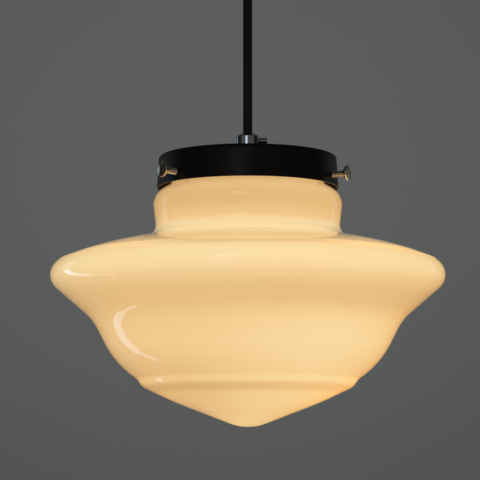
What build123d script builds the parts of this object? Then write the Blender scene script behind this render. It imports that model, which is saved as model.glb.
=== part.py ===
from build123d import *
from math import atan2, cos, degrees, hypot, pi, radians, sin, sqrt
import os

# Glass pendant light. An opal glass shade hangs by three screws in a black steel gallery.
# The gallery hangs on a round flex, and the flex comes from a cup on the ceiling.
# Millimetres, +Z up. The origin is on the ceiling, at the middle of the bracket.
# The photograph looks along +Y, from a little below.

# Clearances, each on the radius or between two faces
thread_gap = 0.05
slip_gap = 0.1
free_gap = 0.3

# Small roundings and chamfers
fine_edge = 0.3
small_edge = 0.4
chamfer = 0.5
soft_edge = 0.8

# Flex: a round cable with three cores, held taut between two cord grips
flex_radius = 2.85
flex_free_length = 86.5
flex_in_grip_gap = 0.4
flex_in_nipple_gap = 0.45
core_radius = 1.05
core_spread = 1.45

# Cord grips, both alike: a turned brass collar with a domed mouth, and a grub screw that pinches the flex
grip_radius = 7.2
grip_height = 12.5
grip_dome = 1.8
grip_mouth_land = 0.5
grip_thread_depth = 6.8
grip_screw_height = 10.0
grip_screw_reach = 12.0
grip_screw_angle = 8.0
swing_point_gap = 0.2

# Small screws
m4_radius = 2.0
grub_tip_radius = 1.2
grub_tip_length = 1.0
slot_width = 0.9
slot_depth = 1.1
fine_slot_width = 0.5
fine_slot_depth = 0.6
pan_crown_share = 0.6
pan_slot_share = 0.45

# Hollow threaded nipples, M10, with a hexagon locknut and a washer
nipple_radius = 5.0
nipple_in_grip = 6.5
nipple_proud_of_nut = 1.5
nut_across_flats = 14.0
nut_height = 3.5
washer_radius = 9.0
washer_thickness = 0.8
washer_notch_radius = 0.8
washer_notch_pitch = 30

# Ceiling cup, pressed from steel sheet
cup_rim_radius = 54.0
cup_taper = 1.0
cup_depth = 26.0
cup_sheet = 1.0
cup_corner = 4.0
cup_screw_drop = 9.0
cup_screw_length = 5.5
cup_screw_head_radius = 3.8
cup_screw_head_height = 2.2

# Ceiling bracket: a strap with two slots, two ears for the cup's screws, and a tab for the terminal block
strap_thickness = 1.5
strap_half_width = 8.0
strap_bend_radius = 1.0
strap_disc_radius = 15.0
cable_hole_radius = 8.5
slot_spacing = 60.0
strap_slot_width = 5.0
strap_slot_length = 12.0
ear_half_width = 7.0
ear_drop = 15.0
tab_beside_block = 1.0
tab_past_block = 2.0
earth_screw_from_slot = 1.0
earth_screw_head_radius = 3.5
earth_screw_head_height = 2.4

# Terminal block under the tab, with three ways that run towards the flex
block_half_width = 12.0
block_front = 17.0
block_length = 14.0
block_height = 12.0
block_corner = 1.0
way_pitch = 8.0
way_drop = 7.0
sleeve_radius = 1.85
sleeve_bore = 1.35
sleeve_inset = 1.0
clamp_screw_radius = 1.25
clamp_screw_inset = 3.5
clamp_screw_sunk = 0.5
fixing_screw_radius = 1.25
fixing_screw_head_radius = 2.3
fixing_screw_head_height = 1.4
core_in_block = 6.0
core_rise = 4.0
core_lead_in = 7.0
core_bend = 2.0
flex_end_past_nipple = 2.5

# Gallery: a drawn steel cap round the shade's lip, with a slight draft, and a pierced collar round each screw
gallery_round_lip_gap = 2.6
gallery_flare = 1.1
gallery_height = 19.6
gallery_sheet = 1.0
gallery_corner = 2.4
gallery_screw_height = 5.5
gallery_collar_radius = 3.3
gallery_collar_depth = 1.0
gallery_screw_angle = -21.7
gallery_screw_count = 3

# Gallery screws: a slotted raised head with a conical underside
gallery_screw_proud = 6.4
gallery_head_cone = 2.1
gallery_head_radius = 4.6
gallery_head_edge = 1.2
gallery_head_crown = 0.5
gallery_tip_chamfer = 0.7
slot_turn = 14.0

# Earth tag under the gallery's locknut, and its lead into the lampholder
earth_tag_radius = 8.0
earth_tag_thickness = 0.8
earth_tag_half_width = 2.2
earth_tag_past_lead = 2.0
earth_lead_place = 13.5
earth_lead_depth = 4.2
earth_lead_bend = 2.0

# Lampholder: an entry cap on the nipple, a body, a ceramic core and its contacts
holder_gap = 0.5
holder_radius = 19.8
holder_boss_radius = 9.0
holder_boss_height = 3.5
holder_boss_round = 1.0
holder_boss_hollow = 2.0
holder_thread_length = 9.0
holder_thread_wall = 2.5
holder_cap_height = 18.4
holder_dome_edge = 11.0
holder_dome_round = 6.0
holder_dome_inside_round = 4.0
holder_wall = 2.2
holder_spigot = 2.4
holder_chamber_radius = 16.0
holder_core_drop = 1.0
holder_core_height = 6.0
holder_skirt_radius = 18.2
holder_skirt_height = 16.4
holder_skirt_step = 2.0
holder_height = 50.4
contact_shell_bore = 13.5
contact_shell_wall = 0.5
contact_shell_length = 22.0
contact_strip_thickness = 0.5
contact_strip_half_width = 2.5
contact_pad_radius = 3.0
contact_pad_height = 1.3
contact_pad_taper = 0.4
contact_pad_round = 0.5
terminal_place = 9.0
terminal_radius = 2.4
terminal_height = 4.5
terminal_slot_width = 0.6
terminal_slot_depth = 0.8
rivet_radius = 1.2
holder_core_rise = 2.2

# Lamp: a pear-shaped lamp on an E27 cap
lamp_length = 98.0
lamp_radius = 27.5
lamp_cap_gap = 0.4
lamp_cap_height = 22.0
lamp_cap_wall = 0.5
lamp_cap_shoulder = 2.0
lamp_contact_radius = 4.4
lamp_contact_height = 1.3
lamp_contact_round = 0.6
lamp_insulator_top_radius = 5.0
lamp_insulator_height = 3.5
lamp_glass_wall = 1.0
lamp_neck_in_cap = 7.3
lamp_neck_gap = 0.4
lamp_neck_length = 7.7
lamp_shoulder_drop = 33.7
lamp_stem_radius = 3.5
lamp_stem_length = 30.0
filament_radius = 1.0
filament_length = 36.0
filament_circle = 6.5
filament_count = 4
filament_wire_radius = 0.4

# Shade: mouth-blown opal glass, given by its outer outline. Heights count from the gallery's lower edge.
shade_wall = 3.0
throat_radius = 47.2
lip_overhang = 3.6
lip_height = 4.7
lip_undercut = 1.0
lip_round = 1.0
neck_swell = 11.4
waist_swell = 8.4
shade_outline = [
    # radius, height, rounding
    (throat_radius, 2.2, 2.5),  # foot of the neck inside the gallery
    (throat_radius + neck_swell, -4.9, 10.9),  # swelling of the neck
    (throat_radius + waist_swell, -29.5, 8.0),  # waist, where the neck meets the shoulder
    (100.7, -39.8, 160.0),  # shoulder
    (128.6, -51.4, 9.7),  # rim, the widest place
    (94.0, -80.9, 31.5),  # hollow under the rim
    (80.4, -107.5, 54.9),  # belly
    (67.2, -116.6, 5.9),  # edge of the stepped ring
    (63.9, -121.4, 6.9),  # foot of the stepped ring
    (44.2, -130.7, 150.0),  # cone
    (5.9, -145.4, 28.0),  # blunt tip
    (0, -145.4, 0),
]

# Sizes that follow from the ones above
cup_floor_radius = cup_rim_radius - cup_taper
tab_half_width = block_half_width + tab_beside_block
tab_end = block_front + block_length + tab_past_block
earth_screw_place = earth_screw_head_radius + earth_screw_from_slot + (strap_slot_length - slot_spacing) / 2
lip_radius = throat_radius + lip_overhang
gallery_top_radius = lip_radius + gallery_round_lip_gap + gallery_sheet
gallery_edge_radius = gallery_top_radius + gallery_flare
gallery_screw_tip = throat_radius + free_gap
gallery_screw_seat = gallery_edge_radius + gallery_screw_proud
earth_tag_reach = earth_lead_place + earth_tag_past_lead

# Heights that follow from the sizes above
cup_floor = -cup_depth
grip_length = grip_height + grip_dome
swing_height = cup_floor - grip_length - swing_point_gap
tilt_height = swing_height - flex_free_length
gallery_top = tilt_height - swing_point_gap - grip_length
gallery_edge = gallery_top - gallery_height
flex_end_gap = flex_radius + free_gap
gallery_draft = gallery_flare / gallery_height
cup_draft = cup_taper / cup_depth
nipple_bore = flex_radius + flex_in_nipple_gap
threaded_hole = m4_radius + thread_gap


# Helpers
def turned(points):
    """Turn a closed outline of (radius, height[, rounding]) points about the vertical axis."""
    places = [(p[0], p[1]) for p in points]
    rounds = [p[2] if len(p) > 2 else 0 for p in points]
    outline = FilletPolyline(*places, radius=rounds, close=True)
    return revolve(Plane.XZ * make_face(outline), axis=Axis.Z)


def rod(radius, low, high, x=0, y=0):
    """A vertical cylinder between two heights."""
    foot = (Align.CENTER, Align.CENTER, Align.MIN)
    return Pos(x, y, low) * Cylinder(radius, high - low, align=foot)


def ring(outer, bore, low, high):
    """A vertical tube between two heights."""
    return rod(outer, low, high) - rod(bore, low, high)


def block(x_range, y_range, z_range):
    """A box between the given limits."""
    size = [high - low for low, high in (x_range, y_range, z_range)]
    low_corner = (x_range[0], y_range[0], z_range[0])
    return Pos(*low_corner) * Box(*size, align=(Align.MIN, Align.MIN, Align.MIN))


def outward(angle, radius, height, rise=0.0):
    """A frame whose Z axis points out from the light at an angle, with its X axis upwards."""
    turn, lift = radians(angle), radians(rise)
    out = (cos(turn) * cos(lift), sin(turn) * cos(lift), sin(lift))
    up = (-cos(turn) * sin(lift), -sin(turn) * sin(lift), cos(lift))
    return Plane(origin=(radius * cos(turn), radius * sin(turn), height), x_dir=up, z_dir=out)


def along_x(radius, start, end, y, z):
    """A cylinder along the X axis."""
    return Plane(origin=(start, y, z), z_dir=(1, 0, 0)) * rod(radius, 0, end - start)


def along_y(radius, start, end, x, z):
    """A cylinder along the Y axis."""
    return Plane(origin=(x, start, z), z_dir=(0, 1, 0)) * rod(radius, 0, end - start)


def screw_slot(top, width=slot_width, depth=slot_depth, turn=0.0):
    """The driver slot across a screw head whose top is at the given height."""
    long_side = 4 * gallery_head_radius
    cutter = Box(long_side, width, 2 * depth)
    return Pos(0, 0, top) * Rot(0, 0, turn) * cutter


def hexagon_nut(low, high, bore):
    """A hexagon nut about the axis."""
    corner = nut_across_flats / 2 / cos(radians(30))
    blank = Pos(0, 0, low) * extrude(RegularPolygon(corner, 6), high - low)
    turned_blank = turned([
        (0, low),
        (corner - chamfer, low),
        (corner, low + chamfer),
        (corner, high - chamfer),
        (corner - chamfer, high),
        (0, high),
    ])
    return (blank & turned_blank) - rod(bore, low, high)


def wire(places, bend, radius=core_radius):
    """A round wire along straight runs joined by arcs."""
    path = FilletPolyline(*places, radius=bend)
    profile = Plane(origin=path @ 0, z_dir=path % 0) * Circle(radius)
    return sweep(profile, path=path)


def inset(points, wall):
    """Move an outline, from its mouth down to the axis, inwards by a wall, with its rounding."""
    last = points[-2]
    chain = list(points) + [(-last[0], last[1], 0)]
    normals = []
    for start, end in zip(chain, chain[1:]):
        run, drop = end[0] - start[0], end[1] - start[1]
        length = hypot(run, drop)
        normals.append((drop / length, -run / length))
    moved = [(points[0][0] + wall * normals[0][0], points[0][1] + wall * normals[0][1], 0)]
    for place, before, after in zip(points[1:], normals, normals[1:]):
        share = wall / (1 + before[0] * after[0] + before[1] * after[1])
        crest = before[0] * after[1] - before[1] * after[0] < 0
        rounding = place[2] - wall if crest else place[2] + wall
        moved.append((
            place[0] + share * (before[0] + after[0]),
            place[1] + share * (before[1] + after[1]),
            rounding if place[2] else 0,
        ))
    return moved


# Cord grips and nipples
def cord_grip():
    """A cord grip that stands on its threaded end, mouth upwards."""
    bore = flex_radius + flex_in_grip_gap
    body = turned([
        (bore, grip_thread_depth),
        (nipple_radius + thread_gap, grip_thread_depth),
        (nipple_radius + thread_gap, 0),
        (grip_radius, 0),
        (grip_radius, grip_height, soft_edge),
        (bore + grip_mouth_land, grip_length, small_edge),
        (bore, grip_length),
    ])
    hole = outward(grip_screw_angle, 0, grip_screw_height) * rod(threaded_hole, 0, 2 * grip_radius)
    return body - hole


def grip_screw():
    """The slotted grub screw of a cord grip, in the grip's own frame."""
    tip = flex_radius + thread_gap
    length = grip_screw_reach - tip
    screw = turned([
        (0, 0),
        (grub_tip_radius, 0),
        (grub_tip_radius, grub_tip_length),
        (m4_radius, grub_tip_length + m4_radius - grub_tip_radius),
        (m4_radius, length, small_edge),
        (0, length),
    ])
    screw -= screw_slot(length, turn=slot_turn)
    return outward(grip_screw_angle, tip, grip_screw_height) * screw


def nipple(low, high):
    """A hollow threaded nipple, chamfered at both ends."""
    return turned([
        (nipple_bore, low),
        (nipple_radius - chamfer, low),
        (nipple_radius, low + chamfer),
        (nipple_radius, high - chamfer),
        (nipple_radius - chamfer, high),
        (nipple_bore, high),
    ])


def toothed_washer(low):
    """A washer with outside teeth."""
    high = low + washer_thickness
    washer = ring(washer_radius, nipple_radius + slip_gap, low, high)
    for turn in range(0, 360, washer_notch_pitch):
        x, y = washer_radius * cos(radians(turn)), washer_radius * sin(radians(turn))
        washer -= rod(washer_notch_radius, low, high, x, y)
    return washer


upper_turn = Pos(0, 0, cup_floor) * Rot(180, 0, 0)
lower_place = Pos(0, 0, gallery_top)
grip = cord_grip()
upper_cord_grip = upper_turn * grip
lower_cord_grip = lower_place * grip
upper_grip_screw = upper_turn * grip_screw()
lower_grip_screw = lower_place * grip_screw()

# Ceiling cup
cup_inside_floor = cup_floor + cup_sheet
cup_inside_floor_radius = cup_floor_radius - cup_sheet
cup_inside_rim_radius = cup_rim_radius - cup_sheet
ceiling_cup = turned([
    (nipple_radius + slip_gap, cup_floor),
    (cup_floor_radius, cup_floor, cup_corner),
    (cup_rim_radius, 0),
    (cup_inside_rim_radius, 0),
    (cup_inside_floor_radius, cup_inside_floor, cup_corner - cup_sheet),
    (nipple_radius + slip_gap, cup_inside_floor),
])
cup_screw_seat = cup_rim_radius - cup_draft * (cup_screw_drop - cup_screw_head_radius) + thread_gap
for side in (0, 180):
    ceiling_cup -= outward(side, 0, -cup_screw_drop) * rod(m4_radius + 2 * slip_gap, 0, 2 * cup_rim_radius)

# Ceiling bracket
cup_inside_at_ear = cup_inside_rim_radius - cup_draft * ear_drop
ear_face = sqrt(cup_inside_at_ear**2 - ear_half_width**2) - free_gap
ear_inner = ear_face - strap_thickness
outer_bend = strap_bend_radius + strap_thickness
bracket_section = FilletPolyline(
    (-ear_face, -ear_drop),
    (-ear_face, 0),
    (ear_face, 0),
    (ear_face, -ear_drop),
    (ear_inner, -ear_drop),
    (ear_inner, -strap_thickness),
    (-ear_inner, -strap_thickness),
    (-ear_inner, -ear_drop),
    radius=[0, outer_bend, outer_bend, 0, 0, strap_bend_radius, strap_bend_radius, 0],
    close=True,
)
ceiling_bracket = extrude(Plane.XZ * make_face(bracket_section), ear_half_width, both=True)
strap_reach = slot_spacing / 2 + strap_slot_length
strap_level = (-strap_thickness, 0)
ceiling_bracket += block((-strap_reach, strap_reach), (-strap_half_width, strap_half_width), strap_level)
ceiling_bracket += rod(strap_disc_radius, -strap_thickness, 0)
ceiling_bracket += block((-tab_half_width, tab_half_width), (0, tab_end), strap_level)
ceiling_bracket -= rod(cable_hole_radius, -strap_thickness, 0)
slot_section = SlotOverall(strap_slot_length, strap_slot_width)
for side in (-1, 1):
    ceiling_bracket -= Pos(side * slot_spacing / 2, 0, 0) * extrude(slot_section, -strap_thickness)
ceiling_bracket -= rod(threaded_hole, -strap_thickness, 0, earth_screw_place)
ceiling_bracket -= along_x(threaded_hole, -ear_face, -ear_inner, 0, -cup_screw_drop)
ceiling_bracket -= along_x(threaded_hole, ear_inner, ear_face, 0, -cup_screw_drop)
fixing_places = [(side * way_pitch / 2, block_front + block_length / 2) for side in (-1, 1)]
for x, y in fixing_places:
    ceiling_bracket -= rod(fixing_screw_radius + thread_gap, -strap_thickness, 0, x, y)


def pan_screw(shank_radius, length, head_radius, head_height):
    """A slotted pan-head screw with its head's underside at zero and its shank downwards."""
    screw = turned([
        (0, -length),
        (shank_radius - fine_edge, -length),
        (shank_radius, fine_edge - length),
        (shank_radius, 0),
        (head_radius, 0),
        (head_radius, head_height, head_height * pan_crown_share),
        (0, head_height),
    ])
    return screw - screw_slot(head_height, depth=head_height * pan_slot_share)


cup_screw = pan_screw(m4_radius, cup_screw_length, cup_screw_head_radius, cup_screw_head_height)
cup_screws = [
    outward(side, cup_screw_seat, -cup_screw_drop) * cup_screw for side in (0, 180)
]
earth_screw = pan_screw(m4_radius, strap_thickness, earth_screw_head_radius, earth_screw_head_height)
earth_screw = Pos(earth_screw_place, 0, -strap_thickness) * Rot(180, 0, 0) * earth_screw

# Nipple, washer and locknut of the ceiling cup
upper_washer = toothed_washer(cup_inside_floor)
upper_nut_low = cup_inside_floor + washer_thickness
upper_nut_high = upper_nut_low + nut_height
upper_locknut = hexagon_nut(upper_nut_low, upper_nut_high, nipple_radius + thread_gap)
upper_nipple_top = upper_nut_high + nipple_proud_of_nut
upper_nipple = nipple(cup_floor - nipple_in_grip, upper_nipple_top)

# Terminal block
block_top = -strap_thickness
block_foot = block_top - block_height
block_back = block_front + block_length
way_height = block_top - way_drop
ways = [-way_pitch, 0, way_pitch]
clamp_rows = [block_front + clamp_screw_inset, block_back - clamp_screw_inset]
terminal_block = block(
    (-block_half_width, block_half_width), (block_front, block_back), (block_foot, block_top)
)
terminal_block = fillet(terminal_block.edges().filter_by(Axis.Z), block_corner)
terminal_sleeves = []
clamp_screws = []
clamp_top = way_height - core_radius - slip_gap
clamp_foot = block_foot + clamp_screw_sunk
for x in ways:
    terminal_block -= along_y(sleeve_radius + thread_gap, block_front, block_back, x, way_height)
    sleeve = along_y(sleeve_radius, block_front + sleeve_inset, block_back - sleeve_inset, x, way_height)
    sleeve -= along_y(sleeve_bore, block_front, block_back, x, way_height)
    for y in clamp_rows:
        hole = rod(clamp_screw_radius + thread_gap, block_foot, way_height, x, y)
        terminal_block -= hole
        sleeve -= hole
        clamp_screw = rod(clamp_screw_radius, clamp_foot, clamp_top)
        clamp_screw -= screw_slot(clamp_foot, width=fine_slot_width, depth=fine_slot_depth)
        clamp_screws.append(Pos(x, y, 0) * clamp_screw)
    terminal_sleeves.append(sleeve)
fixing_screw = pan_screw(
    fixing_screw_radius, block_height + strap_thickness, fixing_screw_head_radius, fixing_screw_head_height
)
block_screws = []
for x, y in fixing_places:
    terminal_block -= rod(fixing_screw_radius + thread_gap, block_foot, block_top, x, y)
    block_screws.append(Pos(x, y, block_foot) * Rot(180, 0, 0) * fixing_screw)

# Flex: its free stretch, the two ends that the grips hold, and the cores beyond them
flex_body = rod(flex_radius, tilt_height, swing_height)
flex = flex_body
for height in (swing_height, tilt_height):
    flex += Pos(0, 0, height) * Sphere(flex_radius)
upper_flex_end_top = upper_nipple_top + flex_end_past_nipple
upper_flex_end = rod(flex_radius, swing_height + flex_end_gap, upper_flex_end_top)


def core_place(number):
    """Where a core leaves the end of the flex."""
    turn = radians(210 - 120 * number)
    return core_spread * cos(turn), core_spread * sin(turn)


def upper_core(number):
    """A core from the end of the flex into its way of the terminal block."""
    x, y = core_place(number)
    way = ways[number]
    lead_in = block_front - core_lead_in
    return wire([
        (x, y, upper_flex_end_top),
        (x, y, upper_flex_end_top + core_rise),
        (way, lead_in, way_height),
        (way, block_front + core_in_block, way_height),
    ], core_bend)


upper_neutral_core, upper_earth_core, upper_live_core = [upper_core(number) for number in range(3)]

# Gallery
gallery_inside_top = gallery_top - gallery_sheet
gallery_screw_level = gallery_edge + gallery_screw_height
gallery_wall_at_screw = gallery_edge_radius - gallery_draft * gallery_screw_height
gallery_screw_rise = degrees(atan2(gallery_flare, gallery_height))
gallery = turned([
    (nipple_radius + slip_gap, gallery_top),
    (gallery_top_radius, gallery_top, gallery_corner),
    (gallery_edge_radius, gallery_edge),
    (gallery_edge_radius - gallery_sheet, gallery_edge),
    (gallery_top_radius - gallery_sheet, gallery_inside_top, gallery_corner - gallery_sheet),
    (nipple_radius + slip_gap, gallery_inside_top),
])
screw_frames = []
for number in range(gallery_screw_count):
    angle = gallery_screw_angle + 360 * number / gallery_screw_count
    screw_frames.append(outward(angle, gallery_wall_at_screw, gallery_screw_level, gallery_screw_rise))
collar_reach = gallery_sheet + gallery_collar_depth
for frame in screw_frames:
    gallery += frame * rod(gallery_collar_radius, -collar_reach, -gallery_sheet / 2)
    gallery -= frame * rod(threaded_hole, -2 * collar_reach, gallery_sheet)


# Gallery screws
def gallery_screw():
    """A gallery screw along its own axis, with zero where it crosses the gallery's wall."""
    tip = gallery_screw_tip - gallery_wall_at_screw
    seat = gallery_screw_seat - gallery_wall_at_screw
    edge = seat + gallery_head_cone
    face = edge + gallery_head_edge
    crown = face + gallery_head_crown
    screw = turned([
        (0, tip),
        (m4_radius - gallery_tip_chamfer, tip),
        (m4_radius, tip + gallery_tip_chamfer),
        (m4_radius, seat, small_edge),
        (gallery_head_radius, edge),
        (gallery_head_radius, face, fine_edge),
        (gallery_head_radius / 3, crown, gallery_head_radius),
        (0, crown),
    ])
    return screw - screw_slot(crown, depth=slot_depth + gallery_head_crown, turn=slot_turn)


gallery_screws = [frame * gallery_screw() for frame in screw_frames]

# Nipple, washer, earth tag and locknut of the gallery
lower_washer_low = gallery_inside_top - washer_thickness
lower_washer = toothed_washer(lower_washer_low)
earth_tag_low = lower_washer_low - earth_tag_thickness
earth_tag = rod(earth_tag_radius, earth_tag_low, lower_washer_low)
earth_tag += block(
    (-earth_tag_half_width, earth_tag_half_width), (0, earth_tag_reach), (earth_tag_low, lower_washer_low)
)
earth_tag -= rod(nipple_radius + slip_gap, earth_tag_low, lower_washer_low)
lower_nut_low = earth_tag_low - nut_height
lower_locknut = hexagon_nut(lower_nut_low, earth_tag_low, nipple_radius + thread_gap)
holder_top = lower_nut_low - holder_gap
lower_nipple_foot = holder_top - holder_thread_length
lower_nipple = nipple(lower_nipple_foot, gallery_top + nipple_in_grip)
lower_flex_end_foot = lower_nipple_foot - flex_end_past_nipple
lower_flex_end = rod(flex_radius, lower_flex_end_foot, tilt_height - flex_end_gap)

# Lampholder
cap_foot = holder_top - holder_cap_height
cap_inside_radius = holder_radius - holder_wall
thread_bore = nipple_radius + thread_gap
lampholder_cap = turned([
    (thread_bore, holder_top),
    (holder_boss_radius, holder_top, holder_boss_round),
    (holder_boss_radius, holder_top - holder_boss_height, holder_boss_hollow),
    (holder_radius, holder_top - holder_dome_edge, holder_dome_round),
    (holder_radius, cap_foot),
    (cap_inside_radius, cap_foot),
    (cap_inside_radius, holder_top - holder_dome_edge - holder_wall / 2, holder_dome_inside_round),
    (thread_bore + holder_thread_wall, holder_top - holder_boss_height - holder_wall),
    (thread_bore + holder_thread_wall, lower_nipple_foot),
    (thread_bore, lower_nipple_foot),
])
lampholder_cap -= rod(core_radius + free_gap, cap_foot, holder_top, 0, earth_lead_place)
core_top = cap_foot - holder_core_drop
core_foot = core_top - holder_core_height
holder_foot = holder_top - holder_height
ledge_bore = contact_shell_bore + contact_shell_wall + free_gap
skirt_top = holder_foot + holder_skirt_height
lampholder_body = turned([
    (ledge_bore, holder_foot),
    (holder_skirt_radius, holder_foot, soft_edge),
    (holder_skirt_radius, skirt_top - holder_skirt_step),
    (holder_radius, skirt_top),
    (holder_radius, cap_foot),
    (cap_inside_radius - slip_gap, cap_foot),
    (cap_inside_radius - slip_gap, cap_foot + holder_spigot),
    (holder_chamber_radius, cap_foot + holder_spigot),
    (holder_chamber_radius, core_foot),
    (ledge_bore, core_foot),
])
lampholder_core = rod(holder_chamber_radius - slip_gap, core_foot, core_top)
terminal_places = (-terminal_place, terminal_place)
lampholder_terminals = []
for x in terminal_places:
    lampholder_core -= rod(rivet_radius + thread_gap, core_foot, core_top, x)
    post = rod(terminal_radius, core_top, core_top + terminal_height, x)
    post += rod(rivet_radius, core_foot, core_top, x)
    terminal_slot = screw_slot(core_top + terminal_height, terminal_slot_width, terminal_slot_depth)
    post -= Pos(x, 0, 0) * terminal_slot
    lampholder_terminals.append(post)
strip_foot = core_foot - contact_strip_thickness
strip_depth = (-contact_strip_half_width, contact_strip_half_width)
centre_contact = block(
    (-contact_pad_radius, terminal_place + terminal_radius), strip_depth, (strip_foot, core_foot)
)
centre_contact += turned([
    (0, strip_foot),
    (contact_pad_radius, strip_foot),
    (contact_pad_radius - contact_pad_taper, strip_foot - contact_pad_height, contact_pad_round),
    (0, strip_foot - contact_pad_height),
])
shell_outside = contact_shell_bore + contact_shell_wall
contact_shell = ring(shell_outside, contact_shell_bore, core_foot - contact_shell_length, core_foot)
contact_shell += block(
    (-contact_shell_bore - contact_shell_wall / 2, terminal_radius - terminal_place),
    strip_depth,
    (strip_foot, core_foot),
)


# Cores and earth lead in the lampholder
def lower_core(number, side):
    """A core from the end of the flex to its terminal on the ceramic core."""
    x, y = core_place(number)
    level = core_top + holder_core_rise
    return wire([
        (x, y, lower_flex_end_foot),
        (x, y, level),
        (side * (terminal_place - terminal_radius - slip_gap), 0, level),
    ], core_bend)


lower_live_core = lower_core(2, 1)
lower_neutral_core = lower_core(0, -1)
earth_lead_level = lower_flex_end_foot - earth_lead_depth
lower_earth_lead = wire([
    (0, earth_lead_place, earth_tag_low),
    (0, earth_lead_place, earth_lead_level),
    (0, core_spread, earth_lead_level),
    (0, core_spread, lower_flex_end_foot),
], earth_lead_bend)

# Lamp, given from its contact downwards
lamp_top = strip_foot - contact_pad_height - free_gap
lamp_insulator_top = lamp_top - lamp_contact_height
lamp_cap_top = lamp_insulator_top - lamp_insulator_height
lamp_cap_foot = lamp_cap_top - lamp_cap_height
lamp_cap_radius = contact_shell_bore - lamp_cap_gap
lamp_foot = lamp_top - lamp_length
lamp_cap_inside = lamp_cap_radius - lamp_cap_wall
lamp_contact = rod(lamp_contact_radius, lamp_insulator_top, lamp_top)
lamp_contact = fillet(lamp_contact.edges().sort_by(Axis.Z)[-1], lamp_contact_round)
lamp_cap_top_radius = lamp_cap_radius - lamp_cap_shoulder
lamp_insulator = turned([
    (0, lamp_insulator_top),
    (lamp_insulator_top_radius, lamp_insulator_top),
    (lamp_cap_top_radius, lamp_cap_top),
    (0, lamp_cap_top),
])
lamp_cap = turned([
    (0, lamp_cap_top),
    (lamp_cap_top_radius, lamp_cap_top),
    (lamp_cap_radius, lamp_cap_top - lamp_cap_shoulder),
    (lamp_cap_radius, lamp_cap_foot),
    (lamp_cap_inside, lamp_cap_foot),
    (lamp_cap_inside, lamp_cap_top - lamp_cap_shoulder),
    (lamp_cap_top_radius - lamp_cap_wall, lamp_cap_top - lamp_cap_wall),
    (0, lamp_cap_top - lamp_cap_wall),
])
lamp_neck_radius = lamp_cap_inside - lamp_neck_gap
lamp_outline = [
    (lamp_neck_radius, lamp_cap_foot + lamp_neck_in_cap, 0),
    (lamp_neck_radius, lamp_cap_foot - lamp_neck_length, lamp_radius),
    (lamp_radius, lamp_cap_foot - lamp_shoulder_drop, lamp_radius),
    (lamp_radius, lamp_foot, lamp_radius - fine_edge),
    (0, lamp_foot, 0),
]
lamp_inside = inset(lamp_outline, lamp_glass_wall)
lamp_glass = turned(lamp_outline + [(0, lamp_outline[0][1])])
lamp_glass -= turned(lamp_inside + [(0, lamp_inside[0][1])])
stem_top = lamp_outline[0][1]
lamp_glass += rod(lamp_neck_radius, stem_top, stem_top + lamp_glass_wall)
stem_foot = stem_top - lamp_stem_length
lamp_stem = rod(lamp_stem_radius, stem_foot, stem_top)
filament_foot = stem_foot - filament_length / 2
filament_top = stem_foot + filament_length / 2
wire_levels = [filament_foot + filament_wire_radius, filament_top - filament_wire_radius]
lamp_stem += rod(filament_wire_radius, filament_foot, stem_foot)
lamp_filaments = []
for number in range(filament_count):
    turn = 45 + 360 * number / filament_count
    x, y = filament_circle * cos(radians(turn)), filament_circle * sin(radians(turn))
    lamp_filaments.append(rod(filament_radius, filament_foot, filament_top, x, y))
    for level in wire_levels:
        spoke = rod(filament_wire_radius, 0, filament_circle - filament_radius)
        lamp_stem += outward(turn, 0, level) * spoke

# Shade
seat_height = gallery_screw_height + m4_radius + free_gap
lip_top = seat_height + lip_undercut + lip_height
shade_outer = [
    (lip_radius, lip_top, lip_round),
    (lip_radius, seat_height + lip_undercut, lip_round),
    (throat_radius, seat_height, lip_round),
] + shade_outline
shade_inner = inset([(throat_radius, lip_top, 0)] + shade_outline, shade_wall)
shade_place = Pos(0, 0, gallery_edge)
glass_shade = turned(shade_outer + [(0, lip_top)]) - turned(shade_inner + [(0, lip_top)])
glass_shade = shade_place * glass_shade

nodes = {
    "ceiling_bracket": ceiling_bracket,
    "earth_screw": earth_screw,
    "terminal_block": terminal_block,
    "terminal_sleeves": terminal_sleeves,
    "terminal_clamp_screws": clamp_screws,
    "terminal_block_screws": block_screws,
    "ceiling_cup": ceiling_cup,
    "ceiling_cup_screws": cup_screws,
    "upper_nipple": upper_nipple,
    "upper_washer": upper_washer,
    "upper_locknut": upper_locknut,
    "upper_cord_grip": upper_cord_grip,
    "upper_grip_screw": upper_grip_screw,
    "upper_flex_end": upper_flex_end,
    "upper_live_core": upper_live_core,
    "upper_neutral_core": upper_neutral_core,
    "upper_earth_core": upper_earth_core,
    "flex": flex,
    "lower_cord_grip": lower_cord_grip,
    "lower_grip_screw": lower_grip_screw,
    "lower_nipple": lower_nipple,
    "gallery": gallery,
    "lower_washer": lower_washer,
    "earth_tag": earth_tag,
    "lower_locknut": lower_locknut,
    "gallery_screw_right": gallery_screws[0],
    "gallery_screw_back": gallery_screws[1],
    "gallery_screw_left": gallery_screws[2],
    "lower_flex_end": lower_flex_end,
    "lower_live_core": lower_live_core,
    "lower_neutral_core": lower_neutral_core,
    "lower_earth_lead": lower_earth_lead,
    "lampholder_cap": lampholder_cap,
    "lampholder_body": lampholder_body,
    "lampholder_core": lampholder_core,
    "lampholder_terminals": lampholder_terminals,
    "centre_contact": centre_contact,
    "contact_shell": contact_shell,
    "lamp_contact": lamp_contact,
    "lamp_insulator": lamp_insulator,
    "lamp_cap": lamp_cap,
    "lamp_glass": lamp_glass,
    "lamp_stem": lamp_stem,
    "lamp_filaments": lamp_filaments,
    "glass_shade": glass_shade,
}

os.makedirs("parts", exist_ok=True)
for name, piece in nodes.items():
    if isinstance(piece, list):
        shape = Compound(children=[Solid(solid.solid().wrapped) for solid in piece])
    else:
        shape = piece.solid()
    export_step(shape, f"parts/{name}.step")

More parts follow.
